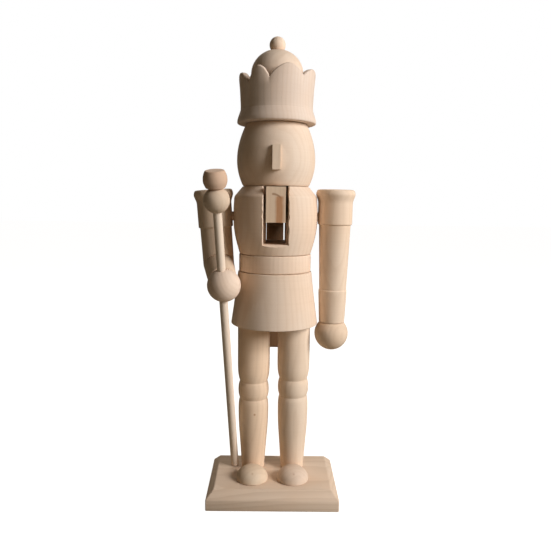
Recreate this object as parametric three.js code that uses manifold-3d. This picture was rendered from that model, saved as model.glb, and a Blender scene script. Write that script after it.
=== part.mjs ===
// A wooden nutcracker figure, unpainted: turned and sawn blanks pegged and glued into a crowned guard
// that stands on a bevelled plinth, with a lever jaw on a pin and a loose staff in the right hand.
// Millimetres, +Z up, the figure faces -Y. Origin: the centre of the plinth's underside.
import * as THREE from 'three';
import { mergeVertices } from 'three/addons/utils/BufferGeometryUtils.js';
import Module from 'manifold-3d';

const wasm = await Module();
wasm.setup();

// ---- driving dimensions ----
const gap = 0.3;                  // glue line or running clearance between neighbouring pieces
const axisBack = 10;              // the body's vertical axis stands this far behind the plinth's centre

const plinth = { width: 108.6, depth: 74, height: 16.2, side: 9.5, bevel: 6.3 };
const leg = { halfSpacing: 17.2, y: 1.3, top: 146.4, knee: 87.2 };
const legRadius = { ankle: 9.9, calf: 11.5, shin: 13, groove: 12.1, bead: 13.2, thigh: 13.9 };
const leftKneeLift = 2.6;         // the left knee's grooves were turned this much higher
const foot = { radius: 13.4, height: 11.2, ahead: 23.9 };
const skirt = { bottom: 146.7, top: 191.3, hem: 36.8, waist: 31 };
const belt = { bottom: 191.6, top: 206, radius: 30.2, edge: 1 };
const chest = { bottom: 206.3, fullFrom: 236, fullTo: 246, shoulder: 253.4, top: 261.5 };
const chestRadius = { waist: 29.9, full: 35.2, shoulder: 34.4, neck: 27.6 };
// The chest is cut right through for the lever: a mouth in front of `step`, a narrower slot behind it.
const slot = { mouthWidth: 19.6, width: 16.6, step: -14, floor: 215.4 };
const head = { bottom: 261.8, top: 311.6, widest: 282.5, radius: 32.3, chin: 27.3, brow: 25 };
const nose = { width: 6.2, bottom: 273.7, top: 293, front: 38.6, frontTop: 33.8 };
const crown = { bottom: 311.9, floor: 337, brim: 32.3, band: 29.4, flare: 2.1, wall: 5.6 };
// Petals of the crown's edge, cut by hand: each starts in a valley at an angle from the front, measured
// towards the figure's left, and rises to its own tip.
const petals = [
  { from: -96, valley: 343, tip: 350.8 }, { from: -48, valley: 341.2, tip: 353 },
  { from: -12, valley: 344.4, tip: 354.4 }, { from: 42, valley: 347, tip: 353.4 },
  { from: 102, valley: 343.5, tip: 352.8 }, { from: 150, valley: 344, tip: 352.6 },
  { from: 204, valley: 343.6, tip: 353.2 },
];
const dome = { radius: 21.2, middle: 351.6, rise: 19.2 };
const finial = { radius: 6.5, centre: 374.5 };

const arm = { flange: 16.6, sleeve: 14.4, lower: 13.2 };
const leftArm = { x: 50.2, top: 259.8, lean: 0.5, sleeveEnd: 28.4, cuffStart: 83.8, end: 111.8 };
const rightArm = { x: 52.2, top: 258.6, lean: 4.4, sleeveEnd: 30.5, elbow: 62.2 };
const forearm = { elbow: 12.8, wrist: 11.4 };
const leftHand = { radius: 14.3, flat: 9.8 };
const rightHand = { radius: 13.2, flat: 9, centre: [-39.9, -38.5, 184] };

const staff = { foot: [-33.4, 1.5, 17.4], rise: [-7.7, -40.2, 168], radius: 3.35, length: 259.4 };
const knob = { radius: 9.9, centre: 239.2, flat: 9 };
const cup = { bottom: 7.3, belly: 9.1, rim: 7.2, height: 12.8 };

const lever = { width: 15.4, front: -32.8, jawBottom: 233, back: 36.4, tailBack: 39.6, tail: 113.4 };
const pivot = { y: 8, z: 246, radius: 2.5, reach: 26 };

const finish = {
  turned: new THREE.MeshStandardMaterial({ color: 0xd9c0a1, roughness: 0.75, metalness: 0 }),
  sawn: new THREE.MeshStandardMaterial({ color: 0xdcc2a0, roughness: 0.8, metalness: 0 }),
  peg: new THREE.MeshStandardMaterial({ color: 0xcdb08a, roughness: 0.8, metalness: 0 }),
  steel: new THREE.MeshStandardMaterial({ color: 0x9a9a98, roughness: 0.35, metalness: 1 }),
};

// ---- shape helpers ----
const rz = (pairs) => pairs.map(([r, z]) => new THREE.Vector2(r, z));

// Points along a circular arc in the radius-height plane, angles in degrees.
function arc(r, z, radius, from, to, steps) {
  const points = [];
  for (let i = 0; i <= steps; i += 1) {
    const angle = THREE.MathUtils.degToRad(from + ((to - from) * i) / steps);
    points.push([r + radius * Math.cos(angle), z + radius * Math.sin(angle)]);
  }
  return points;
}

// A lathe turning about Z from [radius, height] pairs, listed bottom to top on the outside.
function turned(pairs, sides) {
  return new THREE.LatheGeometry(rz(pairs), sides).rotateX(Math.PI / 2);
}

function rod(radius, length, sides) {
  return new THREE.CylinderGeometry(radius, radius, length, sides).rotateX(Math.PI / 2);
}

function toSolid(geometry) {
  const bare = new THREE.BufferGeometry();
  bare.setAttribute('position', geometry.getAttribute('position').clone());
  if (geometry.index) bare.setIndex(geometry.index.clone());
  const merged = mergeVertices(bare, 1e-4);
  const corners = [];
  for (let i = 0; i < merged.index.count; i += 3) {
    const [a, b, c] = [0, 1, 2].map((k) => merged.index.getX(i + k));
    if (a !== b && b !== c && c !== a) corners.push(a, b, c);
  }
  return new wasm.Manifold(new wasm.Mesh({
    numProp: 3,
    vertProperties: new Float32Array(merged.getAttribute('position').array),
    triVerts: new Uint32Array(corners),
  }));
}

function toGeometry(solid) {
  const { vertProperties, triVerts } = solid.getMesh();
  const geometry = new THREE.BufferGeometry();
  geometry.setAttribute('position', new THREE.BufferAttribute(new Float32Array(vertProperties), 3));
  geometry.setIndex(new THREE.BufferAttribute(new Uint32Array(triVerts), 1));
  return geometry;
}

// A plank shape drawn in the depth-height plane, sawn to a width that straddles the figure's middle.
function sawnPlank(shape, width) {
  const plank = new THREE.ExtrudeGeometry(shape, { depth: width, bevelEnabled: false, curveSegments: 6 });
  return plank.rotateX(Math.PI / 2).rotateZ(Math.PI / 2).translate(-width / 2, 0, 0);
}

// The upward direction of an arm whose top leans outward, towards +X for a positive angle.
function tilt(degrees) {
  const angle = THREE.MathUtils.degToRad(degrees);
  return new THREE.Vector3(Math.sin(angle), 0, Math.cos(angle));
}

// ---- assembly helpers ----
const figure = new THREE.Group();
const pieces = {};

function place(name, geometry, material, at = [0, 0, 0], parent = figure) {
  const mesh = new THREE.Mesh(geometry, material);
  mesh.name = name;
  mesh.position.set(...at);
  parent.add(mesh);
  figure.updateMatrixWorld(true);
  pieces[name] = mesh;
}

// A nested group at a point of the figure, with its own Z along the given direction.
function groupAt(point, direction) {
  const group = new THREE.Group();
  group.position.set(...point);
  group.quaternion.setFromUnitVectors(new THREE.Vector3(0, 0, 1), direction.clone().normalize());
  figure.add(group);
  figure.updateMatrixWorld(true);
  return group;
}

// Cut a piece with a shape that is given in the figure's frame, or in the frame of another group.
function cut(name, shape, owner = figure) {
  const piece = pieces[name];
  const toPiece = piece.matrixWorld.clone().invert().multiply(owner.matrixWorld);
  piece.geometry = toGeometry(toSolid(piece.geometry).subtract(toSolid(shape.clone().applyMatrix4(toPiece))));
}

// A round peg between two points, in a hole of its own through each of the named pieces.
function peg(name, from, to, radius, into, material = finish.peg, sides = 10) {
  const [start, end] = [new THREE.Vector3(...from), new THREE.Vector3(...to)];
  const direction = end.clone().sub(start);
  const group = groupAt(start.clone().lerp(end, 0.5).toArray(), direction);
  place(name, rod(radius, direction.length(), sides), material, [0, 0, 0], group);
  for (const piece of into) cut(piece, rod(radius + gap, direction.length() + 2 * gap, sides), group);
}

// ---- plinth, feet and legs ----
// The bevelled end of the plinth, for a board of the given width.
function bevelledEnd(width) {
  const end = new THREE.Shape();
  end.moveTo(-width / 2, 0);
  end.lineTo(width / 2, 0);
  end.lineTo(width / 2, plinth.side);
  end.lineTo(width / 2 - plinth.bevel, plinth.height);
  end.lineTo(plinth.bevel - width / 2, plinth.height);
  end.lineTo(-width / 2, plinth.side);
  end.closePath();
  return end;
}

function plinthBlock() {
  const { width, depth } = plinth;
  const lengthwise = sawnPlank(bevelledEnd(depth), width);
  const crosswise = sawnPlank(bevelledEnd(width), depth).rotateZ(Math.PI / 2);
  return toGeometry(toSolid(lengthwise).intersect(toSolid(crosswise)));
}

place('base_plinth', plinthBlock(), finish.sawn, [0, -axisBack, 0]);

// Shin, two sharp grooves with the knee bead between them, and a straight thigh.
function legTurning(lift) {
  const knee = leg.knee + lift;
  const { ankle, calf, shin, groove, bead, thigh } = legRadius;
  return turned([
    [0, pieceFloor], [ankle, pieceFloor], [ankle + 0.6, 25], [calf, 40], [shin - 0.2, 56],
    [shin, knee - 13.5], [groove, knee - 7.6], [bead - 0.3, knee - 4.2], [bead, knee],
    [bead - 0.3, knee + 4.2], [groove, knee + 7.6], [bead - 0.1, knee + 11], [thigh - 0.1, knee + 16.5],
    [thigh, leg.top], [0, leg.top],
  ], 24);
}

function footBun() {
  const crest = arc(0, 0, 1, 0, 90, 6).map(([r, z]) => [r * foot.radius, z * foot.height]);
  return turned([[0, 0], ...crest.slice(0, -1), [0, foot.height]], 20);
}

const pieceFloor = plinth.height + gap;
for (const [side, sign, lift] of [['left', 1, leftKneeLift], ['right', -1, 0]]) {
  const x = sign * leg.halfSpacing;
  place(`${side}_leg`, legTurning(lift), finish.turned, [x, leg.y, 0]);
  place(`${side}_foot`, footBun(), finish.turned, [x, leg.y - foot.ahead, pieceFloor]);
}

// ---- trunk: skirt, belt and slotted chest ----
place('tunic_skirt', turned([
  [0, skirt.bottom], [skirt.hem - 0.6, skirt.bottom], [skirt.hem, skirt.bottom + 0.8],
  [(skirt.hem + skirt.waist) / 2 - 0.3, (skirt.bottom + skirt.top) / 2],
  [skirt.waist, skirt.top - 0.8], [skirt.waist - 0.9, skirt.top], [0, skirt.top],
], 32), finish.turned);

place('belt_band', turned([
  [0, belt.bottom], [belt.radius - belt.edge, belt.bottom], [belt.radius, belt.bottom + belt.edge],
  [belt.radius, belt.top - belt.edge], [belt.radius - belt.edge, belt.top], [0, belt.top],
], 32), finish.turned);

function chestTurning() {
  const hip = [];
  for (let i = 0; i <= 4; i += 1) {
    const t = 1 - i / 4;
    const z = chest.fullFrom - t * (chest.fullFrom - chest.bottom - 1);
    hip.push([chestRadius.full - (chestRadius.full - chestRadius.waist) * t * t, z]);
  }
  return turned([
    [0, chest.bottom], [chestRadius.waist - 0.8, chest.bottom], ...hip, [chestRadius.full, chest.fullTo],
    [chestRadius.shoulder, chest.shoulder], [chestRadius.neck, chest.top], [0, chest.top],
  ], 32);
}

place('chest_block', chestTurning(), finish.turned);

// Cut the chest from its top down to the slot's floor, between two depths.
function openChest(width, front, back) {
  const height = chest.top - slot.floor + 2;
  const opening = new THREE.BoxGeometry(width, back - front, height);
  cut('chest_block', opening.translate(0, (front + back) / 2, slot.floor + height / 2));
}

openChest(slot.mouthWidth, -2 * chestRadius.full, slot.step);
openChest(slot.width, slot.step - 1, 2 * chestRadius.full);

// ---- head and nose ----
function headTurning(grow = 0) {
  const side = [];
  for (let i = 0; i <= 8; i += 1) {
    const z = head.bottom + ((head.top - head.bottom) * i) / 8;
    const above = z > head.widest;
    const reach = above ? head.top - head.widest : head.widest - head.bottom;
    const drop = head.radius - (above ? head.brow : head.chin);
    side.push([head.radius + grow - drop * ((z - head.widest) / reach) ** 2, z]);
  }
  return turned([[0, head.bottom], ...side, [0, head.top]], 32);
}

place('head_block', headTurning(), finish.turned);

function noseProfile() {
  const wedge = new THREE.Shape();
  wedge.moveTo(-nose.front, nose.bottom);
  wedge.lineTo(-head.brow, nose.bottom);
  wedge.lineTo(-head.brow, nose.top);
  wedge.lineTo(-nose.frontTop, nose.top);
  return wedge;
}

place('nose_wedge', sawnPlank(noseProfile(), nose.width), finish.sawn);
cut('nose_wedge', headTurning(gap));

// ---- crown, cap and finial ----
// The height of the crown's edge at an angle: rounded petals that meet in sharp valleys.
function petalEdge(degrees) {
  const around = degrees < petals[0].from ? degrees + 360 : degrees;
  const index = petals.findLastIndex((petal) => petal.from <= around + 0.01);
  const { from, valley, tip } = petals[index];
  const next = petals[(index + 1) % petals.length];
  const to = next.from > from ? next.from : next.from + 360;
  const along = Math.max(0, (around - from) / (to - from));
  const chord = valley + (next.valley - valley) * along;
  return chord + (tip - (valley + next.valley) / 2) * Math.sin(Math.PI * along) ** 0.9;
}

function crownTurning() {
  const bore = crownPeg.radius + gap;
  const edge = 355;               // where the rim would be before the petals are cut
  const { bottom, floor, brim, band, flare, wall } = crown;
  const inner = band + flare - wall;
  const ring = turned([
    [bore, bottom], [brim - 1.2, bottom], [brim, bottom + 1.4], [brim - 0.1, bottom + 3.2],
    [band + 0.4, bottom + 10.6], [band, bottom + 11.4], [band + 0.8, 339], [band + flare, edge],
    [inner + 0.4, edge], [inner, floor], [bore, floor], [bore, bottom],
  ], 60);
  const corner = ring.getAttribute('position');
  for (let i = 0; i < corner.count; i += 1) {
    const angle = THREE.MathUtils.radToDeg(Math.atan2(corner.getX(i), -corner.getY(i)));
    if (Math.abs(corner.getZ(i) - edge) < 0.01) corner.setZ(i, petalEdge(angle));
  }
  return ring;
}

const crownPeg = { radius: 5, bottom: 294, top: 356 };
place('crown_ring', crownTurning(), finish.turned);

place('cap_dome', turned([
  [0, crown.floor + gap], [dome.radius, crown.floor + gap],
  ...arc(0, 0, 1, 0, 90, 8).slice(0, -1).map(([r, z]) => [r * dome.radius, dome.middle + z * dome.rise]),
  [0, dome.middle + dome.rise],
], 24), finish.turned);

function finialBall(grow = 0) {
  const radius = finial.radius + grow;
  const shell = arc(0, finial.centre, radius, -90, 90, 8).slice(1, -1);
  return turned([[0, finial.centre - radius], ...shell, [0, finial.centre + radius]], 16);
}

place('finial_ball', finialBall(), finish.turned);
cut('cap_dome', finialBall(gap));

// ---- arms ----
// Both upper arms share the rolled flange, its cove and the sleeve; measured down from the top face.
const shoulder = (sleeveEnd) => [
  [arm.flange - 2.4, 0], [arm.flange - 0.8, -1.4], [arm.flange, -3.8], [arm.flange - 0.6, -5.6],
  [arm.sleeve + 0.7, -7.9], [arm.sleeve, -9.6], [arm.sleeve, -sleeveEnd], [arm.lower, -sleeveEnd - 0.6],
];
const upwards = (pairs) => [...pairs].reverse();

function leftArmTurning() {
  const { sleeveEnd, cuffStart, end } = leftArm;
  return turned(upwards([
    [0, 0], ...shoulder(sleeveEnd), [11.5, -cuffStart], [11.9, -cuffStart - 0.7], [11.9, -cuffStart - 3],
    [10.8, -end], [0, -end],
  ]), 24);
}

// A hand ball below its frame's origin, sliced flat where it meets the wrist.
function handBall(radius, flat) {
  const from = THREE.MathUtils.radToDeg(Math.asin(flat / radius));
  const below = arc(0, 0, radius, -90, from, 9).slice(1);
  return turned([[0, -radius], ...below, [0, flat]], 20);
}

const leftUp = tilt(leftArm.lean);
const leftShoulder = groupAt([leftArm.x, 0, leftArm.top], leftUp);
place('left_arm', leftArmTurning(), finish.turned, [0, 0, 0], leftShoulder);
const leftHandDrop = leftArm.end + gap + leftHand.flat;
place('left_hand', handBall(leftHand.radius, leftHand.flat), finish.turned,
  [0, 0, -leftHandDrop], leftShoulder);

// The right arm is sawn through at the elbow and glued back mitred, so the forearm points ahead.
const rightUp = tilt(-rightArm.lean);
const rightTop = new THREE.Vector3(-rightArm.x, 0, rightArm.top);
const elbow = rightTop.clone().addScaledVector(rightUp, -rightArm.elbow);
const palm = new THREE.Vector3(...rightHand.centre);
const forearmUp = elbow.clone().sub(palm).normalize();
const mitre = rightUp.clone().add(forearmUp).normalize();
const reach = elbow.distanceTo(palm);

const rightShoulder = groupAt(rightTop.toArray(), rightUp);
const rightWrist = groupAt(palm.toArray(), forearmUp);
const elbowFrame = groupAt(elbow.toArray(), mitre);
const spare = 14;                 // blank left past the elbow before the mitre is sawn

place('right_upper_arm', turned(upwards([
  [0, 0], ...shoulder(rightArm.sleeveEnd), [forearm.elbow, -rightArm.elbow - spare],
  [0, -rightArm.elbow - spare],
]), 24), finish.turned, [0, 0, 0], rightShoulder);
place('right_forearm', turned([
  [0, rightHand.flat + gap], [forearm.wrist, rightHand.flat + gap],
  [forearm.elbow, reach], [forearm.elbow, reach + spare], [0, reach + spare],
], 24), finish.turned, [0, 0, 0], rightWrist);
place('right_hand', handBall(rightHand.radius, rightHand.flat), finish.turned, [0, 0, 0], rightWrist);

const offcut = 80;
const sawBlock = () => new THREE.BoxGeometry(offcut, offcut, offcut);
cut('right_upper_arm', sawBlock().translate(0, 0, -offcut / 2 + gap / 2), elbowFrame);
cut('right_forearm', sawBlock().translate(0, 0, offcut / 2 - gap / 2), elbowFrame);

// ---- staff ----
const staffLine = new THREE.Vector3(...staff.rise).normalize();
const staffFrame = groupAt(staff.foot, staffLine);
const knobBottom = knob.centre - Math.sqrt(knob.radius ** 2 - (staff.radius + 0.6) ** 2);
const cupFloor = knob.centre + knob.flat + gap;
const knobTopAngle = THREE.MathUtils.radToDeg(Math.asin(knob.flat / knob.radius));

place('staff_rod', rod(staff.radius, staff.length, 12).translate(0, 0, staff.length / 2), finish.turned,
  [0, 0, 0], staffFrame);
place('staff_knob', turned([
  [0, knobBottom], ...arc(0, knob.centre, knob.radius, -67, knobTopAngle, 8), [0, knob.centre + knob.flat],
], 18), finish.turned, [0, 0, 0], staffFrame);
place('staff_cup', turned([
  [0, cupFloor], [cup.bottom, cupFloor], [cup.belly - 0.5, cupFloor + 3.4], [cup.belly, cupFloor + 6.2],
  [cup.belly - 0.4, cupFloor + 9], [cup.rim, cupFloor + cup.height - 0.4],
  [cup.rim - 0.5, cupFloor + cup.height], [0, cupFloor + cup.height],
], 18), finish.turned, [0, 0, 0], staffFrame);
const rodHole = rod(staff.radius + gap, staff.length + gap, 12).translate(0, 0, (staff.length + gap) / 2);
cut('staff_knob', rodHole, staffFrame);
cut('staff_cup', rodHole, staffFrame);
cut('right_hand', rod(staff.radius + 2 * gap, 80, 12).translate(0, 0, 173), staffFrame);

// ---- jaw lever and its pin ----
// One plank sawn to shape: jaw in front, an arm through the chest, and the handle down the back.
function leverProfile() {
  const plank = new THREE.Shape();
  const jawTop = chest.top - 0.5;
  plank.moveTo(lever.front, lever.jawBottom);
  plank.lineTo(lever.front, jawTop);
  plank.lineTo(lever.front + 4, jawTop);
  plank.quadraticCurveTo(-15, jawTop - 8, -3, jawTop);
  plank.lineTo(4, jawTop);
  plank.lineTo(34, 246);
  plank.quadraticCurveTo(lever.back + 14.4, 240, lever.back + 14, 222);
  plank.lineTo(lever.tailBack + 11, lever.tail + 4);
  plank.quadraticCurveTo(lever.tailBack + 10.6, lever.tail, lever.tailBack + 7, lever.tail);
  plank.lineTo(lever.tailBack + 3, lever.tail);
  plank.quadraticCurveTo(lever.tailBack, lever.tail, lever.tailBack, lever.tail + 4);
  plank.lineTo(lever.back, 224);
  plank.quadraticCurveTo(lever.back, lever.jawBottom, lever.back - 8, lever.jawBottom);
  plank.closePath();
  return plank;
}

place('jaw_lever', sawnPlank(leverProfile(), lever.width), finish.sawn);

// ---- pegs, pin and screws ----
const turnedPegs = [
  ['crown_peg', [0, 0, crownPeg.bottom], [0, 0, crownPeg.top], crownPeg.radius, ['head_block', 'cap_dome']],
  ['finial_peg', [0, 0, 360], [0, 0, 376], 2, ['cap_dome', 'finial_ball']],
];
for (const [side, sign] of [['left', 1], ['right', -1]]) {
  const hip = sign * leg.halfSpacing;
  turnedPegs.push(
    [`${side}_hip_peg`, [hip, leg.y, 132], [hip, leg.y, 160], 4, [`${side}_leg`, 'tunic_skirt']],
    [`${side}_waist_peg`, [16 * sign, 0, 172], [16 * sign, 0, 222], 4,
      ['tunic_skirt', 'belt_band', 'chest_block']],
    [`${side}_neck_peg`, [18 * sign, -4, 249], [18 * sign, -4, 275], 4, ['chest_block', 'head_block']],
  );
}
const onAxis = (group, z) => group.localToWorld(new THREE.Vector3(0, 0, z)).toArray();
turnedPegs.push(
  ['left_shoulder_peg', [23, 0, 237], [48, 0, 237], 4, ['chest_block', 'left_arm']],
  ['right_shoulder_peg', [-23, 0, 237], [-48, 0, 237], 4, ['chest_block', 'right_upper_arm']],
  ['left_wrist_peg', onAxis(leftShoulder, -leftHandDrop - 2), onAxis(leftShoulder, -leftHandDrop + 24), 3,
    ['left_hand', 'left_arm']],
  ['right_wrist_peg', onAxis(rightWrist, 6), onAxis(rightWrist, 21), 3, ['right_hand', 'right_forearm']],
  ['right_elbow_peg', onAxis(elbowFrame, -9), onAxis(elbowFrame, 9), 3.5,
    ['right_forearm', 'right_upper_arm']],
);
for (const [name, from, to, radius, into] of turnedPegs) peg(name, from, to, radius, into);

peg('lever_pivot_pin', [-pivot.reach, pivot.y, pivot.z], [pivot.reach, pivot.y, pivot.z], pivot.radius,
  ['chest_block', 'jaw_lever'], finish.steel, 16);
const pinEntry = rod(pivot.radius + gap, 20, 16).rotateY(Math.PI / 2);
cut('chest_block', pinEntry.translate(pivot.reach + 9.9, pivot.y, pivot.z));

const screw = { head: 4.2, shank: 2.1, sunk: 1, neck: 3.6, tip: 44 };
function screwTurning(grow = 0) {
  const start = grow ? -1 : screw.sunk;
  return turned([
    [0, start], [screw.head + grow, start], [screw.head + grow, screw.sunk + 0.4],
    [screw.shank + grow, screw.neck], [screw.shank + grow, screw.tip - 4], [0, screw.tip + grow],
  ], 14);
}
for (const [side, sign] of [['left', 1], ['right', -1]]) {
  place(`${side}_leg_screw`, screwTurning(), finish.steel, [sign * leg.halfSpacing, leg.y, 0]);
  const driven = pieces[`${side}_leg_screw`];
  for (const name of [`${side}_leg`, 'base_plinth']) cut(name, screwTurning(gap), driven);
}

figure.position.y = axisBack;
figure.updateMatrixWorld(true);
export default figure;
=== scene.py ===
# A bare wooden nutcracker guard, unpainted, put together in the order it is made: plinth, legs, trunk,
# head, crown, arms, staff, lever and fastenings, then the studio that it stands in.
import math

import bmesh
import bpy
from mathutils import Matrix, Vector, noise


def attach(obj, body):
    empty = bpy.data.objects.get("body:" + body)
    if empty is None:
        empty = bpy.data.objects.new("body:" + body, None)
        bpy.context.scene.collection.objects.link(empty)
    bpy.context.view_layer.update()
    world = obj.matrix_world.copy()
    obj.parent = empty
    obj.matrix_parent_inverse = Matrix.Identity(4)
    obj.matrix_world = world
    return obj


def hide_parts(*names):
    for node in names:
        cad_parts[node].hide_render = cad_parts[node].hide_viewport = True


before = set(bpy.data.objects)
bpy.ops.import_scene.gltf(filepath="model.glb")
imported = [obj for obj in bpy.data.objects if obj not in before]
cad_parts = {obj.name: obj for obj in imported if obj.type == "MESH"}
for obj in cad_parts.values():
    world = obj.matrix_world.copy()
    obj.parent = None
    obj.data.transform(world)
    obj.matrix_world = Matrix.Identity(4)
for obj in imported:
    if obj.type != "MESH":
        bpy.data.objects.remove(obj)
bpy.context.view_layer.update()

scene = bpy.context.scene
mm = 0.001
axis_y = 10.0                     # the body's upright axis stands this far behind the plinth's middle, in mm


# ---------------------------------------------------------------- plinth
# The board that the figure stands on: sawn square, its four upper edges planed to a slope, then sanded.
# Bare pale wood with the grain from side to side, drilled and countersunk underneath for two screws.
def bare_wood(name, seed, pale=(0.82, 0.66, 0.52), dark=(0.62, 0.43, 0.275), grain="upright", rings=0.34,
              fibre=0.55, lathe=0.0, mark=None):
    """Sanded bare wood as a solid texture in the piece's own frame, in millimetres: growth rings round a
    pith outside the piece, fine fibres along the grain, slow warmer patches, pores and tool marks."""
    material = bpy.data.materials.new(name)
    material.use_nodes = True
    tree = material.node_tree
    shader = tree.nodes["Principled BSDF"]

    def node(kind, **settings):
        made = tree.nodes.new("ShaderNode" + kind)
        for key, value in settings.items():
            setattr(made, key, value)
        return made

    def feed(sockets, values):
        for socket, value in zip(sockets, values):
            if isinstance(value, bpy.types.NodeSocket):
                tree.links.new(value, socket)
            elif isinstance(value, tuple) and len(value) == 3 and len(socket.default_value) == 4:
                socket.default_value = (*value, 1)
            else:
                socket.default_value = value

    def calc(operation, *values):
        made = node("Math", operation=operation)
        feed(made.inputs, values)
        return made.outputs[0]

    def blend(mode, amount, below, above):
        made = node("Mix", data_type="RGBA", blend_type=mode)
        feed((made.inputs["Factor"], made.inputs[6], made.inputs[7]), (amount, below, above))
        return made.outputs[2]

    def fade(value, start, end):
        made = node("MapRange", interpolation_type="SMOOTHSTEP")
        feed((made.inputs["Value"], made.inputs["From Min"], made.inputs["From Max"]), (value, start, end))
        return made.outputs["Result"]

    def cloud(across, along, offset, detail=2.0):
        stretch = node("Mapping")
        feed((stretch.inputs["Vector"], stretch.inputs["Location"], stretch.inputs["Scale"]),
             (wood, (offset + seed, offset * 0.7, seed * 1.3), (across, across, along)))
        made = node("TexNoise")
        feed((made.inputs["Vector"], made.inputs["Scale"], made.inputs["Detail"], made.inputs["Roughness"]),
             (stretch.outputs[0], 1.0, detail, 0.58))
        return made.outputs["Fac"]

    place = node("Mapping")
    feed((place.inputs["Vector"], place.inputs["Scale"]),
         (node("TexCoord").outputs["Object"], (1 / mm, 1 / mm, 1 / mm)))
    here = place.outputs[0]
    lean = node("Mapping")
    turn = {"upright": (0.02, -0.015, seed), "sideways": (0, math.pi / 2, 0.012)}[grain]
    feed((lean.inputs["Vector"], lean.inputs["Rotation"]), (here, turn))
    wood = lean.outputs[0]

    # Growth rings: the distance from the pith, bent by slow waves and by small wanderings of each ring.
    parts = node("SeparateXYZ")
    feed(parts.inputs, (wood,))
    aside = calc("ADD", parts.outputs[0], 38.0 + 9.0 * math.sin(seed))
    deep = calc("ADD", parts.outputs[1], 22.0 + 9.0 * math.cos(seed))
    from_pith = calc("SQRT", calc("ADD", calc("MULTIPLY", aside, aside), calc("MULTIPLY", deep, deep)))
    bent = calc("MULTIPLY_ADD", cloud(0.014, 0.006, 3.1, 1.0), 30.0, from_pith)
    bent = calc("MULTIPLY_ADD", cloud(0.16, 0.012, 8.4), 2.2, bent)
    year = calc("FRACT", calc("DIVIDE", bent, 3.6))
    late = calc("MULTIPLY", fade(year, 0.30, 0.93), fade(calc("SUBTRACT", 1.0, year), 0.0, 0.10))

    streaks = fade(cloud(0.55, 0.010, 1.7, 4.0), 0.30, 0.72)
    hairs = cloud(3.2, 0.05, 5.2)
    patches = fade(cloud(0.035, 0.018, 9.9), 0.35, 0.68)
    pores = fade(cloud(2.1, 0.16, 2.4, 1.0), 0.70, 0.80)

    warm = (pale[0], pale[1] * 0.95, pale[2] * 0.90)
    colour = blend("MIX", calc("MULTIPLY", patches, 0.8), pale, warm)
    colour = blend("MIX", calc("MULTIPLY", late, 0.6 * rings), colour, dark)
    colour = blend("MIX", calc("MULTIPLY", streaks, 0.14 * fibre), colour, dark)
    colour = blend("MULTIPLY", calc("MULTIPLY", hairs, 0.26 * fibre), colour, (0.80, 0.73, 0.65))
    colour = blend("MULTIPLY", calc("MULTIPLY", pores, 0.34 * fibre), colour, (0.62, 0.50, 0.38))
    if lathe:
        tool = cloud(0.012, 1.1, 7.3, 3.0)
        cut = calc("MULTIPLY", fade(tool, 0.35, 0.75), 0.13 * lathe)
        colour = blend("MULTIPLY", cut, colour, (0.84, 0.78, 0.70))
    if mark:
        colour = mark(colour, here, node, feed, calc, blend, fade, hairs)
    feed((shader.inputs["Base Color"],), (colour,))

    relief = calc("MULTIPLY_ADD", late, 0.30, calc("MULTIPLY", hairs, 0.45))
    relief = calc("SUBTRACT", relief, calc("MULTIPLY", pores, 0.5))
    if lathe:
        relief = calc("MULTIPLY_ADD", tool, 0.6 * lathe, relief)
    bump = node("Bump")
    bump.inputs["Strength"].default_value = 0.6
    bump.inputs["Distance"].default_value = 0.12 * mm
    feed((bump.inputs["Height"], shader.inputs["Normal"]), (relief, bump.outputs[0]))
    sheen = node("MapRange")
    feed((sheen.inputs["Value"], sheen.inputs["To Min"], sheen.inputs["To Max"]), (hairs, 0.58, 0.82))
    feed((shader.inputs["Roughness"],), (sheen.outputs["Result"],))
    shader.inputs["Specular IOR Level"].default_value = 0.25
    return material


def spot(at, reach, tint, depth):
    """A ragged round darker patch at a point of the piece, in millimetres: knots on the feet and shin,
    painted shadow on the plinth between the feet.
    """
    def mark(colour, here, node, feed, calc, blend, fade, hairs):
        gap = node("VectorMath", operation="DISTANCE")
        feed(gap.inputs, (here, at))
        ragged = calc("MULTIPLY_ADD", hairs, 0.8 * reach, gap.outputs["Value"])
        inside = calc("MULTIPLY", fade(ragged, 1.5 * reach, 0.6 * reach), depth)
        return blend("MULTIPLY", inside, colour, tint)
    return mark


def frame_at(at, up=(0, 0, 1)):
    """The frame of a piece whose own Z runs along `up`, at a point in millimetres from the body's foot."""
    turned_up = Vector((0, 0, 1)).rotation_difference(Vector(up)).to_matrix().to_4x4()
    return Matrix.Translation(Vector((at[0], at[1] + axis_y, at[2])) * mm) @ turned_up


def show(name, bm, body, material, where, replaced):
    """Turns built mesh data in millimetres into a piece that rides on its body in place of its CAD nodes."""
    bmesh.ops.recalc_face_normals(bm, faces=bm.faces)
    bmesh.ops.scale(bm, vec=(mm, mm, mm), verts=bm.verts)
    mesh = bpy.data.meshes.new(name)
    bm.to_mesh(mesh)
    bm.free()
    mesh.materials.append(material)
    mesh.shade_smooth()
    mesh.set_sharp_from_angle(angle=math.radians(33))
    piece = bpy.data.objects.new(name, mesh)
    scene.collection.objects.link(piece)
    piece.matrix_world = where
    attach(piece, body)
    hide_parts(*replaced)


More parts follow.
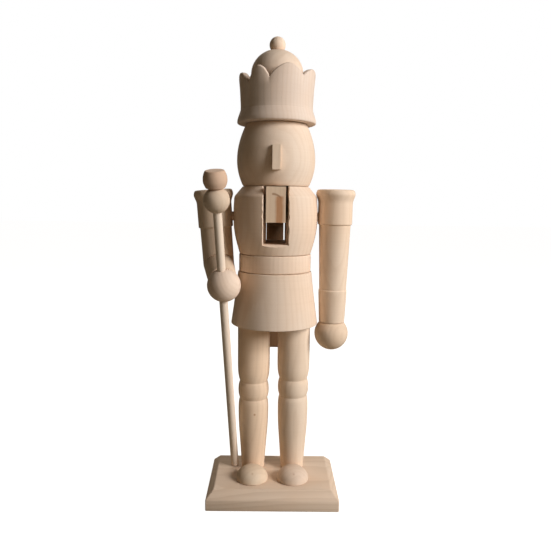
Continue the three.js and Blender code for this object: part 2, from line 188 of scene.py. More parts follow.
def carve(bm, cutter, where=Matrix()):
    """Cuts one built shape, moved by `where`, out of another; both are in millimetres."""
    cutter.transform(where)
    bmesh.ops.recalc_face_normals(cutter, faces=cutter.faces)
    bmesh.ops.recalc_face_normals(bm, faces=bm.faces)
    pair = []
    for label, shape in (("blank", bm), ("cutter", cutter)):
        mesh = bpy.data.meshes.new(label)
        shape.to_mesh(mesh)
        pair.append(bpy.data.objects.new(label, mesh))
        scene.collection.objects.link(pair[-1])
    saw = pair[0].modifiers.new("saw", "BOOLEAN")
    saw.operation = "DIFFERENCE"
    saw.solver = "EXACT"
    saw.object = pair[1]
    bpy.context.view_layer.update()
    result = pair[0].evaluated_get(bpy.context.evaluated_depsgraph_get()).to_mesh()
    bm.clear()
    bm.from_mesh(result)
    for blank in pair:
        bpy.data.meshes.remove(blank.data)
    cutter.free()
    return bm


def eased(corners):
    """The points of an outline given as (a, b, rounding) corners, each rounded corner worked as a curve."""
    points = []
    for i, (a, b, rounding) in enumerate(corners):
        corner = Vector((a, b))
        if not rounding:
            points.append(corner)
            continue
        before = Vector(corners[i - 1][:2]) - corner
        after = Vector(corners[(i + 1) % len(corners)][:2]) - corner
        start = corner + before.normalized() * min(rounding, before.length * 0.49)
        end = corner + after.normalized() * min(rounding, after.length * 0.49)
        for step in range(7):
            t = step / 6
            points.append(start * (1 - t) ** 2 + corner * (2 * t * (1 - t)) + end * t ** 2)
    return points


def turning(corners, sides=128, uneven=0.0, seed=0.0):
    """A turned shape about Z from (radius, height, rounding) corners, listed from bottom to top."""
    bm = bmesh.new()
    rows = []
    for radius, height in eased(corners):
        if radius < 1e-6:
            rows.append([bm.verts.new((0, 0, height))])
            continue
        row = []
        for i in range(sides):
            angle = 2 * math.pi * i / sides
            place = Vector((math.cos(angle), math.sin(angle), height * 0.03 + seed))
            r = radius * (1 + uneven * noise.noise(place * 1.7))
            row.append(bm.verts.new((r * math.cos(angle), r * math.sin(angle), height)))
        rows.append(row)
    for low, high in zip(rows, rows[1:]):
        for i in range(sides):
            j = (i + 1) % sides
            if len(low) == 1 and len(high) == 1:
                continue
            if len(low) == 1:
                bm.faces.new((low[0], high[j], high[i]))
            elif len(high) == 1:
                bm.faces.new((low[i], low[j], high[0]))
            else:
                bm.faces.new((low[i], low[j], high[j], high[i]))
    return bm


def sloped_board(width, depth, height, side, slope, rounding):
    """A board whose upper edges slope inwards above a straight side, with every edge eased."""
    bm = bmesh.new()
    rows = []
    for z, inset in ((0, 0), (side, 0), (height, slope)):
        x, y = width / 2 - inset, depth / 2 - inset
        rows.append([bm.verts.new(p) for p in ((-x, -y, z), (x, -y, z), (x, y, z), (-x, y, z))])
    bm.faces.new(rows[0][::-1])
    bm.faces.new(rows[-1])
    for low, high in zip(rows, rows[1:]):
        for i in range(4):
            bm.faces.new((low[i], low[(i + 1) % 4], high[(i + 1) % 4], high[i]))
    bmesh.ops.bevel(bm, geom=list(bm.edges), offset=rounding, segments=3, profile=0.5, affect="EDGES")
    return bm


clearance = 0.3                   # a glue line or a running clearance between neighbouring pieces
plinth_height = 16.2
leg_x, leg_y = 17.2, 1.3          # each leg's axis, to the side of and behind the body's axis
screw_head, screw_shank = 4.2, 2.1
rim_top, neck_top, shank_top, screw_tip = 1.4, 3.6, 40, 44


def screw_hole():
    """A drilled and countersunk hole for a screw, open through the plinth's underside."""
    wide = screw_head + clearance
    narrow = screw_shank + clearance
    return turning([(0, -1, 0), (wide, -1, 0), (wide, rim_top, 0), (narrow, neck_top, 0),
                    (narrow, shank_top, 0), (0, screw_tip + clearance, 0)], sides=48)


board = sloped_board(width=108.6, depth=74, height=plinth_height, side=9.5, slope=6.3, rounding=0.9)
for x in (-leg_x, leg_x):
    carve(board, screw_hole(), Matrix.Translation((x, leg_y + axis_y, 0)))
# The small dark patch on the board's top between the feet is a painted shadow.
board_wood = bare_wood("plinth_board_wood", 2.3, pale=(0.80, 0.63, 0.485), dark=(0.56, 0.385, 0.25),
                       grain="sideways", rings=0.42, fibre=0.8,
                       mark=spot((-4.5, -6, plinth_height), 1.0, (0.30, 0.20, 0.13), 0.8))
show("plinth", board, "figure", board_wood, frame_at((0, -axis_y, 0)), ["base_plinth"])


# ---------------------------------------------------------------- feet
# Two half buns, turned as one bun and sawn apart, glued flat to the plinth just ahead of the legs.
# Bare pale wood with the end grain showing on their rounded tops.
standing = plinth_height + clearance
foot_radius, foot_rise = 13.4, 10.95
foot_ahead = 23.9                 # how far each foot's middle is in front of its leg's axis


def bun(radius, rise, steps=24):
    """A half bun about Z: a flat underside, a small eased edge and a rounded top."""
    top = [(radius * math.cos(a), rise * math.sin(a) + 0.25, 0)
           for a in (math.radians(90 * i / steps) for i in range(steps))]
    return turning([(0, 0, 0), (radius - 0.35, 0, 0)] + top + [(0, rise, 0)])


for name, x, seed, pale in (("left_foot", leg_x, 5.1, (0.81, 0.63, 0.49)),
                            ("right_foot", -leg_x, 7.7, (0.80, 0.64, 0.48))):
    knot = spot((0.5, -9, 8), 1.3, (0.62, 0.45, 0.33), 0.5)
    show(f"{name}_bun", bun(foot_radius, foot_rise), "figure",
         bare_wood(f"{name}_wood", seed, pale, rings=0.28, lathe=0.5, mark=knot),
         frame_at((x, leg_y - foot_ahead, standing)), [name])


# ---------------------------------------------------------------- legs
# Turned legs with two sharp grooves at the knee and a rounded bead between them, swelling to a straight
# thigh; bare wood, screwed from under the plinth and pegged into the skirt. The knees differ in height.
leg_top = 146.4
right_knee, left_knee = 87.2, 89.8


def leg_turning(knee, seed):
    """A leg about Z, from the plinth to the skirt, with its bead at the given height."""
    shin = [(0, standing, 0), (9.9, standing, 0.4), (10.5, 25, 4), (11.5, 40, 7), (12.8, 56, 8),
            (13.1, knee - 17, 7), (12.8, knee - 10.8, 3)]
    bead = [(11.9, knee - 7.6, 0.25), (12.95, knee - 4.6, 2.2), (13.3, knee, 3.5), (12.95, knee + 4.6, 2.2),
            (11.9, knee + 7.6, 0.25)]
    thigh = [(12.9, knee + 10.8, 3), (13.8, knee + 16.5, 7), (13.9, leg_top, 0.4), (0, leg_top, 0)]
    return turning(shin + bead + thigh, uneven=0.005, seed=seed)


shin_knot = spot((1.5, -12.9, 68), 1.3, (0.60, 0.42, 0.30), 0.75)
for side, x, knee, seed, pale, mark in (("left", leg_x, left_knee, 11.4, (0.88, 0.71, 0.55), None),
                                        ("right", -leg_x, right_knee, 14.9, (0.88, 0.68, 0.50), shin_knot)):
    blank = carve(leg_turning(knee, seed), screw_hole())
    show(f"{side}_leg_turning", blank, "figure",
         bare_wood(f"{side}_leg_wood", seed, pale, rings=0.30, lathe=0.9, mark=mark),
         frame_at((x, leg_y, 0)), [f"{side}_leg"])


# ---------------------------------------------------------------- trunk
# Skirt, belt and chest, three turnings pegged one on another; the chest is sawn through from front to
# back to take the lever, and the saw has left the slot's edges a little ragged.
on_axis = frame_at((0, 0, 0))
skirt_foot, skirt_top = leg_top + clearance, 191.3
belt_foot, belt_top = skirt_top + clearance, 206
chest_foot, chest_top = belt_top + clearance, 261.5

skirt = turning([(0, skirt_foot, 0), (36.8, skirt_foot, 0.8), (33.6, 169, 16), (31, skirt_top, 0.9),
                 (0, skirt_top, 0)], sides=160, uneven=0.003, seed=2.0)
show("skirt_turning", skirt, "figure",
     bare_wood("skirt_wood", 21.3, (0.83, 0.665, 0.525), rings=0.26, lathe=1.0), on_axis, ["tunic_skirt"])

belt = turning([(0, belt_foot, 0), (30.2, belt_foot, 1.1), (30.2, belt_top, 1.1), (0, belt_top, 0)],
               sides=160, uneven=0.002, seed=4.0)
show("belt_turning", belt, "figure",
     bare_wood("belt_wood", 24.6, (0.86, 0.68, 0.535), rings=0.24, lathe=0.9), on_axis, ["belt_band"])


def block_cutter(x, y, z, rag=0.0, seed=0.0, flare=0.0, steps=60):
    """A square cutter between (low, high) pairs, its upright edges wandering a little like a saw's. For
    taking off an arris, `flare` widens its near face and `y` is a function giving its pair at a height."""
    bm = bmesh.new()
    rows = []
    for i in range(steps + 1):
        height = z[0] + (z[1] - z[0]) * i / steps
        near, far = y(height) if callable(y) else y
        down = flare if i == 0 else 0
        edges = []
        for index, (a, b, lower) in enumerate(((x[0] - flare, near, down), (x[1] + flare, near, down),
                                               (x[1], far, 0), (x[0], far, 0))):
            wobble = rag * noise.noise(Vector((index * 7.3, height * 0.33, seed)))
            wobble += 0.5 * rag * noise.noise(Vector((index * 3.1, height * 1.1, seed)))
            edges.append(bm.verts.new((a + wobble, b, height - lower)))
        rows.append(edges)
    bm.faces.new(rows[0][::-1])
    bm.faces.new(rows[-1])
    for low, high in zip(rows, rows[1:]):
        for i in range(4):
            bm.faces.new((low[i], low[(i + 1) % 4], high[(i + 1) % 4], high[i]))
    return bm


mouth, mouth_back = 9.8, -14      # half the mouth's width, and how far back it goes
slot_height = (215.4, 265)        # from the slot's floor to above the chest's top
arris_flare = 8
barrel = [(29.9, chest_foot, 0.8), (32.2, 214.5, 6), (34, 222, 6), (35.1, 231, 8), (35.2, 243, 9),
          (34.4, 253.4, 1.6), (27.6, chest_top, 0.5)]


def broken_edge(height):
    """The cutter's depths for the slot's arris, its far one 1 mm under the chest's surface at a height."""
    for (low_radius, low, _), (high_radius, high, _) in zip(barrel, barrel[1:]):
        if height <= high:
            break
    along = min(max((height - low) / (high - low), 0), 1)
    radius = low_radius + (high_radius - low_radius) * along
    far = 1 - math.sqrt(radius * radius - mouth * mouth)
    return far - arris_flare, far


chest = turning([(0, chest_foot, 0)] + barrel + [(0, chest_top, 0)], sides=160, uneven=0.003, seed=6.0)
carve(chest, block_cutter((-mouth, mouth), (-50, mouth_back), slot_height, rag=0.35, seed=3.0))
carve(chest, block_cutter((-7.95, 8.6), (-20, 50), slot_height))
arris = block_cutter((-mouth, mouth), broken_edge, slot_height, rag=0.9, seed=5.0, flare=arris_flare)
carve(chest, arris)


def drill(radius, start, end):
    """A straight drilled hole along Z, in millimetres from the drill's own zero."""
    return turning([(0, start, 0), (radius, start, 0), (radius, end, 0), (0, end, 0)], sides=64)


pin_hole = 2.5 + clearance
pin_reach = 26
at_pivot = Matrix.Translation((0, 8, 246)) @ Matrix.Rotation(math.pi / 2, 4, "Y")
carve(chest, drill(pin_hole, -pin_reach - clearance, 50), at_pivot)
show("chest_turning", chest, "figure",
     bare_wood("chest_wood", 28.2, (0.84, 0.665, 0.52), rings=0.26, lathe=1.0), on_axis, ["chest_block"])


# ---------------------------------------------------------------- head and nose
# A plain egg-shaped turning with flat ends, pegged over the slot, and a sawn wedge glued on for a nose.
# There is no mouth, no eyes and no paint; the chisel's fine rings still run round the cheeks.
def egg(chin, cheek, brow, steps=40):
    """An egg with flat ends, each of its three levels given as (radius, height)."""
    side = []
    for i in range(steps + 1):
        z = chin[1] + (brow[1] - chin[1]) * i / steps
        end = brow if z > cheek[1] else chin
        side.append((cheek[0] - (cheek[0] - end[0]) * ((z - cheek[1]) / (end[1] - cheek[1])) ** 2, z, 0))
    eased_edge = [(chin[0] - 0.5, chin[1], 0), (chin[0], chin[1] + 0.45, 0)]
    return [(0, chin[1], 0)] + eased_edge + side[1:] + [(0, brow[1], 0)]


head = turning(egg(chin=(27.3, 261.8), cheek=(32.3, 282.5), brow=(25, 311.6)),
               sides=160, uneven=0.003, seed=8.0)
show("head_turning", head, "figure",
     bare_wood("head_wood", 33.5, (0.83, 0.67, 0.53), rings=0.22, lathe=1.1), on_axis, ["head_block"])


def plank(outline, width, rounding):
    """A piece sawn from a plank: an outline of (depth, height, rounding) corners, eased along its edges."""
    bm = bmesh.new()
    points = eased(outline)
    left = [bm.verts.new((-width / 2, y, z)) for y, z in points]
    right = [bm.verts.new((width / 2, y, z)) for y, z in points]
    bm.faces.new(left)
    bm.faces.new(right[::-1])
    for i in range(len(points)):
        j = (i + 1) % len(points)
        bm.faces.new((left[i], right[i], right[j], left[j]))
    rim = [edge for edge in bm.edges if edge.calc_face_angle(0) > math.radians(40)]
    bmesh.ops.bevel(bm, geom=rim, offset=rounding, segments=3, profile=0.5, affect="EDGES")
    return bm


wedge = plank([(-38.6, 273.7, 0), (-28, 273.7, 0), (-28, 293, 0), (-33.8, 293, 0)],
              width=6.2, rounding=0.4)
show("nose_block", wedge, "figure",
     bare_wood("nose_wood", 36.1, (0.81, 0.64, 0.48), rings=0.22, fibre=0.8), on_axis, ["nose_wedge"])


# ---------------------------------------------------------------- crown
# A turned cup that widens to a brim at its foot below a crease, its wall cut by hand into seven uneven
# petals that meet in sharp valleys; the cut edges are sanded round. Glued over the head.
crown_foot, cup_floor, band_top = 311.9, 337, 338
band_radius, crown_wall, peg_hole = 30.1, 5.4, 5.3
petal_lean, petal_reach = 1.3, 17     # the wall leans out this far over this height above the band
lip, lip_steps = 1.5, 4               # the sanded rounding along the cut edge
petals = [(-96, 343, 350.8), (-48, 341.2, 353), (-12, 344.4, 354.4), (42, 347, 353.4), (102, 343.5, 352.8),
          (150, 344, 352.6), (204, 343.6, 353.2)]


def petal_height(angle):
    """The height of the crown's edge at a whole angle from the front towards the figure's left; each petal
    is the angle of its first valley, that valley's height and the height of its tip."""
    around = angle + 360 if angle < petals[0][0] else angle
    index = max(i for i, petal in enumerate(petals) if petal[0] <= around)
    start, valley, tip = petals[index]
    end, end_valley, _ = petals[(index + 1) % len(petals)]
    along = (around - start) / ((end if end > start else end + 360) - start)
    chord = valley + (end_valley - valley) * along
    return chord + (tip - (valley + end_valley) / 2) * math.sin(math.pi * along) ** 0.9


def crown_ring():
    """The crown as columns of points: its foot and wall outside, the rounded edge, and the cup inside."""
    bm = bmesh.new()
    columns = []
    foot = eased([(peg_hole, crown_foot, 0), (32.3, crown_foot, 1.4), (32.25, 315, 1.6), (29.6, 322.7, 0.25),
                  (29.5, 326, 3), (band_radius, band_top, 0)])
    for angle in range(-180, 180):
        edge = petal_height(angle)
        outer = band_radius + petal_lean * (edge - band_top) / petal_reach
        inner = outer - crown_wall
        wall = [Vector((outer, edge - lip))]
        for step in range(1, lip_steps + 1):
            turn = math.pi / 2 * step / lip_steps
            wall.append(Vector((outer - lip * (1 - math.cos(turn)), edge - lip * (1 - math.sin(turn)))))
        for step in range(lip_steps + 1):
            turn = math.pi / 2 * step / lip_steps
            wall.append(Vector((inner + lip * (1 - math.sin(turn)), edge - lip * (1 - math.cos(turn)))))
        wall += [Vector((25.9, cup_floor + 0.6)), Vector((25.3, cup_floor)), Vector((peg_hole, cup_floor))]
        theta = math.radians(angle)
        columns.append([bm.verts.new((r * math.sin(theta), -r * math.cos(theta), z)) for r, z in foot + wall])
    for i, column in enumerate(columns):
        beside = columns[(i + 1) % len(columns)]
        for k in range(len(column)):
            m = (k + 1) % len(column)
            bm.faces.new((column[k], beside[k], beside[m], column[m]))
    return bm


show("crown_turning", crown_ring(), "figure",
     bare_wood("crown_wood", 41.8, (0.80, 0.655, 0.545), rings=0.25, lathe=0.8), on_axis, ["crown_ring"])


# ---------------------------------------------------------------- cap and finial
# A turned dome that stands on a peg inside the crown, and a small turned ball glued into its top.
# Both are bare wood.
def ball(radius, flat=None, steps=32):
    """A turned ball about its own centre, sliced flat at a height when `flat` is given."""
    last = math.pi / 2 if flat is None else math.asin(flat / radius)
    count = steps if flat is None else steps + 1
    arc = [(radius * math.cos(a), radius * math.sin(a), 0)
           for a in (-math.pi / 2 + (last + math.pi / 2) * i / steps for i in range(1, count))]
    if flat is not None:
        arc[-1] = (arc[-1][0], arc[-1][1], 0.5)
    return [(0, -radius, 0)] + arc + [(0, radius if flat is None else flat, 0)]


dome_foot = cup_floor + clearance
dome_radius, dome_middle, dome_rise = 21.2, 351.6, 19.2
finial_radius, finial_height = 6.5, 374.5
dome = [(0, dome_foot, 0), (dome_radius, dome_foot, 0.4)]
dome += [(dome_radius * math.cos(a), dome_middle + dome_rise * math.sin(a), 0)
         for a in (math.radians(90 * i / 32) for i in range(32))]
dome += [(0, dome_middle + dome_rise, 0)]
cap = carve(turning(dome, uneven=0.003, seed=9.0), turning(ball(finial_radius + clearance)),
            Matrix.Translation((0, 0, finial_height)))
show("cap_turning", cap, "figure",
     bare_wood("cap_wood", 45.2, (0.84, 0.68, 0.54), rings=0.24, lathe=0.7), on_axis, ["cap_dome"])
show("finial_turning", turning(ball(finial_radius), sides=96), "figure",
     bare_wood("finial_wood", 47.9, (0.92, 0.75, 0.60), rings=0.2, lathe=0.4),
     frame_at((0, 0, finial_height)), ["finial_ball"])


# ---------------------------------------------------------------- straight arm
# The figure's left arm: one turning with a rolled shoulder flange, a cove, a short sleeve and a cuff,
# pegged to the chest, and a turned ball sliced flat and pegged under it for a hand.
def shoulder(sleeve_end):
    """The sleeve, the cove and the rolled flange above it, with heights measured from the top face."""
    return [(13.2, -sleeve_end - 0.9, 0.2), (14.3, -sleeve_end - 0.3, 0.3), (14.4, -sleeve_end + 0.6, 0.4),
            (14.4, -9.8, 2), (15.8, -6.2, 0.7), (16.6, -3.8, 2.2), (15.6, -0.6, 0.9), (14.2, 0, 0.6),
            (0, 0, 0)]


left_lean = math.radians(0.5)
left_length = 111.8
left_hand_radius, left_hand_flat = 14.3, 9.8
left_up = Vector((math.sin(left_lean), 0, math.cos(left_lean)))
left_top = Vector((50.2, 0, 259.8))
cuff = [(0, -left_length, 0), (10.8, -left_length, 0.5), (11.9, -88, 4), (11.9, -84.2, 0.8),
        (11.4, -83.8, 0.3)]
left_arm = turning(cuff + shoulder(28.4), uneven=0.004, seed=12.0)
show("left_arm_turning", left_arm, "figure",
     bare_wood("left_arm_wood", 52.4, (0.86, 0.68, 0.52), rings=0.26, lathe=1.0),
     frame_at(left_top, left_up), ["left_arm"])

left_hand_at = left_top - left_up * (left_length + clearance + left_hand_flat)
show("left_hand_ball", turning(ball(left_hand_radius, left_hand_flat)), "figure",
     bare_wood("left_hand_wood", 55.1, (0.81, 0.635, 0.475), rings=0.26, lathe=0.7),
     frame_at(left_hand_at, left_up), ["left_hand"])


# ---------------------------------------------------------------- bent arm
# The figure's right arm: the same turning sawn through at the elbow and glued back on a mitre so that the
# forearm points ahead, with a ball for a hand, bored through to hold the staff.
right_lean = math.radians(4.4)
to_elbow, waste = 62.2, 14        # where the arm is sawn, and what each blank has beyond the cut
elbow_radius, wrist_radius = 12.8, 11.4
right_hand_radius, right_hand_flat = 13.2, 9
right_up = Vector((-math.sin(right_lean), 0, math.cos(right_lean)))
right_top = Vector((-52.2, 0, 258.6))
elbow = right_top - right_up * to_elbow
palm = Vector((-39.9, -38.5, 184))
forearm_up = (elbow - palm).normalized()
mitre = (right_up + forearm_up).normalized()


def mitred(bm, where, keep_above):
    """Saws a blank on the elbow's plane and keeps one side of it, leaving half of a glue line."""
    to_piece = where.inverted()
    side = 1 if keep_above else -1
    through = to_piece @ (frame_at(elbow + mitre * (clearance / 2) * side).translation) / mm
    direction = (to_piece.to_3x3() @ mitre) * side
    cut = bmesh.ops.bisect_plane(bm, geom=bm.verts[:] + bm.edges[:] + bm.faces[:], plane_co=through,
                                 plane_no=-direction, clear_outer=True)
    rim = [edge for edge in cut["geom_cut"] if isinstance(edge, bmesh.types.BMEdge)]
    bmesh.ops.contextual_create(bm, geom=rim)
    return bm


upper_frame = frame_at(right_top, right_up)
upper_end = -to_elbow - waste
upper = turning([(0, upper_end, 0), (elbow_radius, upper_end, 0)] + shoulder(30.5), uneven=0.004, seed=14.0)
show("right_upper_arm_turning", mitred(upper, upper_frame, True), "figure",
     bare_wood("right_upper_arm_wood", 61.7, (0.80, 0.62, 0.46), rings=0.30, lathe=1.0),
     upper_frame, ["right_upper_arm"])

forearm_frame = frame_at(palm, forearm_up)
reach = (elbow - palm).length
wrist = right_hand_flat + clearance
forearm = turning([(0, wrist, 0), (wrist_radius, wrist, 0.4), (elbow_radius, reach, 0),
                   (elbow_radius, reach + waste, 0), (0, reach + waste, 0)], uneven=0.003, seed=15.0)
show("right_forearm_turning", mitred(forearm, forearm_frame, False), "figure",
     bare_wood("right_forearm_wood", 64.3, (0.80, 0.625, 0.465), rings=0.30, lathe=0.8),
     forearm_frame, ["right_forearm"])

staff_radius = 3.35
staff_foot = Vector((-33.4, 1.5, 17.4))
staff_up = Vector((-7.7, -40.2, 168)).normalized()
staff_frame = frame_at(staff_foot, staff_up)
millimetres = Matrix.Scale(mm, 4)
bore = millimetres.inverted() @ forearm_frame.inverted() @ staff_frame @ millimetres
running_bore = staff_radius + 2 * clearance
hand = carve(turning(ball(right_hand_radius, right_hand_flat)), drill(running_bore, 120, 225), bore)
show("right_hand_ball", hand, "figure",
     bare_wood("right_hand_wood", 67.2, (0.87, 0.69, 0.55), rings=0.24, lathe=0.7),
     forearm_frame, ["right_hand"])


# ---------------------------------------------------------------- staff
# A loose turned staff: a plain dowel that slides through the hand and stands on the plinth, with a sliced
# ball and a small barrel-shaped cup glued on its upper end. Bare, slightly paler wood.
staff_length = 259.4
knob_radius, knob_flat, knob_height = 9.9, 9, 239.2
cup_foot, cup_height = knob_height + knob_flat + clearance, 12.8
glued_bore = staff_radius + clearance

dowel = turning([(0, 0, 0), (staff_radius, 0, 0.5), (staff_radius, staff_length, 0.4), (0, staff_length, 0)],
                sides=64, uneven=0.006, seed=17.0)
show("staff_dowel", dowel, "staff",
     bare_wood("staff_dowel_wood", 71.5, (0.91, 0.77, 0.63), rings=0.18, fibre=0.9),
     staff_frame, ["staff_rod"])

grip = carve(turning(ball(knob_radius, knob_flat)), drill(glued_bore, -60, 30))
show("staff_knob_ball", grip, "staff",
     bare_wood("staff_knob_wood", 74.9, (0.70, 0.545, 0.405), rings=0.24, lathe=0.6),
     frame_at(staff_foot + staff_up * knob_height, staff_up), ["staff_knob"])

cup = turning([(0, 0, 0), (7.3, 0, 0.6), (8.9, 3.6, 2.4), (9.1, 6.2, 2.2), (8.7, 9.4, 2.4),
               (7.2, cup_height, 0.9), (0, cup_height, 0)])
show("staff_cup_turning", carve(cup, drill(glued_bore, -5, 11.2)), "staff",
     bare_wood("staff_cup_wood", 77.4, (0.67, 0.47, 0.34), rings=0.26, lathe=0.7),
     frame_at(staff_foot + staff_up * cup_foot, staff_up), ["staff_cup"])


# ---------------------------------------------------------------- lever
# The jaw, its arm through the chest and the handle down the back are one plank sawn to shape, hung on a
# steel pin; a dark line of heartwood runs down the jaw's face under a small curved scar, and painted shade
# darkens the plank behind the jaw.
def jaw_marks_and_painted_shade(colour, here, node, feed, calc, blend, fade, hairs):
    """A brown streak of darker wood down the jaw's face under a curved scar; behind the jaw the whole plank
    is painted darker as shade.
    """
    parts = node("SeparateXYZ")
    feed(parts.inputs, (here,))
    x, y, z = parts.outputs
    wander = node("TexNoise")
    wander.inputs["Scale"].default_value = 0.09
    feed((wander.inputs["Vector"],), (here,))
    drift = calc("MULTIPLY_ADD", wander.outputs["Fac"], 2.4, calc("SUBTRACT", x, 3.4))
    band = calc("MULTIPLY", fade(drift, -3.6, -0.6), fade(drift, 4.8, 2.2))
    below = fade(z, 254.6, 252.4)
    front = fade(y, -24, -30)
    strength = calc("MULTIPLY", calc("MULTIPLY", band, below), front)
    brown = calc("MULTIPLY", calc("MULTIPLY_ADD", hairs, 0.5, 0.6), strength)
    colour = blend("MIX", brown, colour, (0.47, 0.21, 0.085))
    # Painted shade: darker from the back of the jaw to the handle, standing for the shade inside the slot and
    # behind the chest.
    colour = blend("MULTIPLY", fade(y, -24, 20), colour, (0.55, 0.44, 0.35))
    beside = calc("ADD", x, 2.4)
    bow = calc("MULTIPLY_ADD", calc("MULTIPLY", beside, beside), -0.07, 255.2)
    off = calc("ABSOLUTE", calc("SUBTRACT", z, bow))
    scar = calc("MULTIPLY", fade(off, 1.3, 0.3), calc("MULTIPLY", fade(x, -3.6, -2.4), fade(x, 5.0, 2.5)))
    return blend("MIX", calc("MULTIPLY", calc("MULTIPLY", scar, front), 0.75), colour, (0.33, 0.17, 0.085))


jaw = [(-32.8, 233, 0), (-32.8, 261, 0), (-28.8, 261, 0.6), (-20, 257.4, 6), (-10, 257.1, 6)]
arm_back = [(-3, 261, 0.6), (4, 261, 1.5), (34, 246, 8), (50.2, 240, 14)]
handle = [(50.4, 222, 8), (50.6, 113.4, 4), (39.6, 113.4, 4), (36.4, 228, 4), (32, 233, 4)]
lever = carve(plank(jaw + arm_back + handle, width=15.4, rounding=0.8), drill(pin_hole, -50, 50), at_pivot)
show("lever_plank", lever, "lever",
     bare_wood("lever_wood_plank", 81.6, (0.78, 0.60, 0.435), rings=0.30, fibre=0.9, mark=jaw_marks_and_painted_shade),
     on_axis, ["jaw_lever"])


# ---------------------------------------------------------------- screws
# Two zinc-plated countersunk screws with a cross recess, driven up through the plinth into the legs.
# Grey metal, finely mottled, with the recess cut into each head.
def bright_steel(name, seed):
    """Bare grey metal whose tone and roughness vary finely over the piece."""
    material = bpy.data.materials.new(name)
    material.use_nodes = True
    tree = material.node_tree
    shader = tree.nodes["Principled BSDF"]
    shader.inputs["Metallic"].default_value = 1.0
    place = tree.nodes.new("ShaderNodeTexCoord")
    wear = tree.nodes.new("ShaderNodeTexNoise")
    wear.inputs["Scale"].default_value = 900.0 + seed
    tree.links.new(place.outputs["Object"], wear.inputs["Vector"])
    tones = tree.nodes.new("ShaderNodeValToRGB")
    tones.color_ramp.elements[0].color = (0.36, 0.35, 0.33, 1)
    tones.color_ramp.elements[1].color = (0.58, 0.57, 0.55, 1)
    tree.links.new(wear.outputs["Fac"], tones.inputs["Fac"])
    tree.links.new(tones.outputs["Color"], shader.inputs["Base Color"])
    rough = tree.nodes.new("ShaderNodeMapRange")
    rough.inputs["To Min"].default_value = 0.28
    rough.inputs["To Max"].default_value = 0.50
    tree.links.new(wear.outputs["Fac"], rough.inputs["Value"])
    tree.links.new(rough.outputs["Result"], shader.inputs["Roughness"])
    return material


for side, x in (("left", leg_x), ("right", -leg_x)):
    screw = turning([(0, 1, 0), (screw_head, 1, 0.15), (screw_head, rim_top, 0.1),
                     (screw_shank, neck_top, 0.4), (screw_shank, shank_top, 0.5), (0, screw_tip, 0)],
                    sides=64)
    for wide, deep in ((0.45, 2.2), (2.2, 0.45)):
        carve(screw, block_cutter((-wide, wide), (-deep, deep), (0, 2.2)))
    show(f"{side}_screw", screw, "figure", bright_steel(f"{side}_screw_steel", x),
         frame_at((x, leg_y, 0)), [f"{side}_leg_screw"])


# ---------------------------------------------------------------- pegs and pin
# Beech pegs glued in drilled holes and a plain steel pin across the chest: all of them out of sight, so
# their bodies stay as they are and only take a finish.
peg_wood = bare_wood("peg_beech", 91.0, (0.74, 0.56, 0.40), (0.55, 0.37, 0.22), rings=0.3, fibre=0.9)
pin_metal = bright_steel("pivot_pin_steel", 3.0)
for name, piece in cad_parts.items():
    if name.endswith("_peg") or name == "lever_pivot_pin":
        piece.data.materials.clear()
        piece.data.materials.append(pin_metal if name == "lever_pivot_pin" else peg_wood)


# ---------------------------------------------------------------- studio
# A pale paper floor under one soft lamp from the figure's left front, a faint lamp behind the figure and
# a weak warm glow in the room.
def add_lamp(name, bearing, height, distance, size, watts, colour):
    """A square soft lamp; bearing is degrees round from the front towards the figure's left."""
    lamp = bpy.data.objects.new(name, bpy.data.lights.new(name, "AREA"))
    scene.collection.objects.link(lamp)
    lamp.data.size = size
    lamp.data.energy = watts
    lamp.data.color = colour
    round_by, rise = math.radians(bearing), math.radians(height)
    flat = math.cos(rise)
    towards = Vector((math.sin(round_by) * flat, -math.cos(round_by) * flat, math.sin(rise)))
    lamp.location = Vector((0, axis_y * mm, 0.19)) + towards * distance
    lamp.rotation_euler = towards.to_track_quat("Z", "Y").to_euler()


add_lamp("soft_lamp", bearing=60, height=24, distance=1.3, size=0.6, watts=18.5, colour=(0.985, 0.985, 1))
add_lamp("back_lamp", bearing=190, height=36, distance=1.3, size=0.8, watts=4.5, colour=(1, 0.96, 0.9))


def seen_or_lit(tree, seen, lit):
    """The first value for what the camera sees directly, the second for the light that falls on things."""
    rays = tree.nodes.new("ShaderNodeLightPath")
    pick = tree.nodes.new("ShaderNodeMixShader")
    tree.links.new(rays.outputs["Is Camera Ray"], pick.inputs[0])
    tree.links.new(lit, pick.inputs[1])
    tree.links.new(seen, pick.inputs[2])
    return pick.outputs[0]


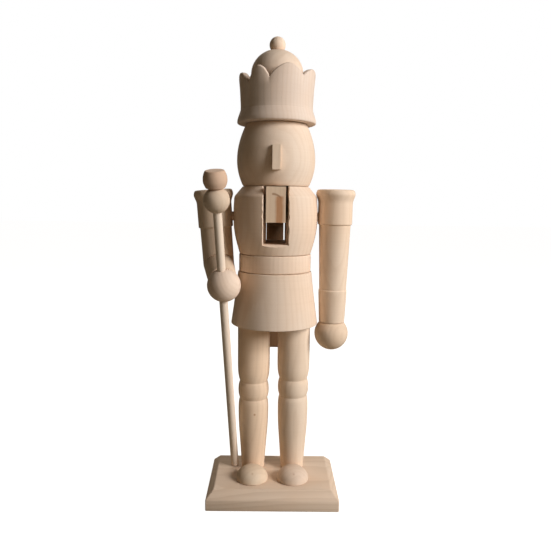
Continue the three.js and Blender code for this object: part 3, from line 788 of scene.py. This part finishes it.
room = bpy.data.worlds.new("room")
scene.world = room
room.use_nodes = True
air = room.node_tree
air.nodes.clear()
sky = air.nodes.new("ShaderNodeBackground")
sky.inputs["Color"].default_value = (1, 1, 1, 1)
sky.inputs["Strength"].default_value = 1.0
glow = air.nodes.new("ShaderNodeBackground")
glow.inputs["Color"].default_value = (1, 0.83, 0.6, 1)
glow.inputs["Strength"].default_value = 0.085
surroundings = air.nodes.new("ShaderNodeOutputWorld")
air.links.new(seen_or_lit(air, sky.outputs[0], glow.outputs[0]), surroundings.inputs["Surface"])

paper = bpy.data.materials.new("pale_paper")
paper.use_nodes = True
sheet = paper.node_tree.nodes["Principled BSDF"]
sheet.inputs["Base Color"].default_value = (0.30, 0.27, 0.22, 1)
sheet.inputs["Roughness"].default_value = 0.9
sheet.inputs["Specular IOR Level"].default_value = 0.0
sheet.inputs["Emission Color"].default_value = (1, 1, 1, 1)
rays = paper.node_tree.nodes.new("ShaderNodeLightPath")
bright = paper.node_tree.nodes.new("ShaderNodeMath")
bright.operation = "MULTIPLY"
bright.inputs[1].default_value = 0.975
paper.node_tree.links.new(rays.outputs["Is Camera Ray"], bright.inputs[0])
paper.node_tree.links.new(bright.outputs[0], sheet.inputs["Emission Strength"])

floor_mesh = bpy.data.meshes.new("floor")
floor_mesh.from_pydata([(-6, -6, 0), (6, -6, 0), (6, 6, 0), (-6, 6, 0)], [], [(0, 1, 2, 3)])
floor_mesh.materials.append(paper)
floor = bpy.data.objects.new("floor", floor_mesh)
scene.collection.objects.link(floor)
scene.view_settings.view_transform = "Standard"


# ---------------------------------------------------------------- camera
# A normal lens a little under half a metre in front, level with the shoulders, looking slightly down at
# the figure and canted by less than a degree.
eye = Vector((-3.1, -460.6, 248.9)) * mm
turn, dip, cant = math.radians(0.46), math.radians(7.48), math.radians(0.74)
ahead = Vector((math.sin(turn) * math.cos(dip), math.cos(turn) * math.cos(dip), -math.sin(dip)))
level = Vector((math.cos(turn), -math.sin(turn), 0))
upright = level.cross(ahead)
right = math.cos(cant) * level + math.sin(cant) * upright
up = math.cos(cant) * upright - math.sin(cant) * level

camera = bpy.data.objects.new("camera", bpy.data.cameras.new("camera"))
scene.collection.objects.link(camera)
camera.matrix_world = Matrix.Translation(eye) @ Matrix((right, up, -ahead)).transposed().to_4x4()
camera.data.lens = 36.48
camera.data.clip_start = 0.01
scene.camera = camera
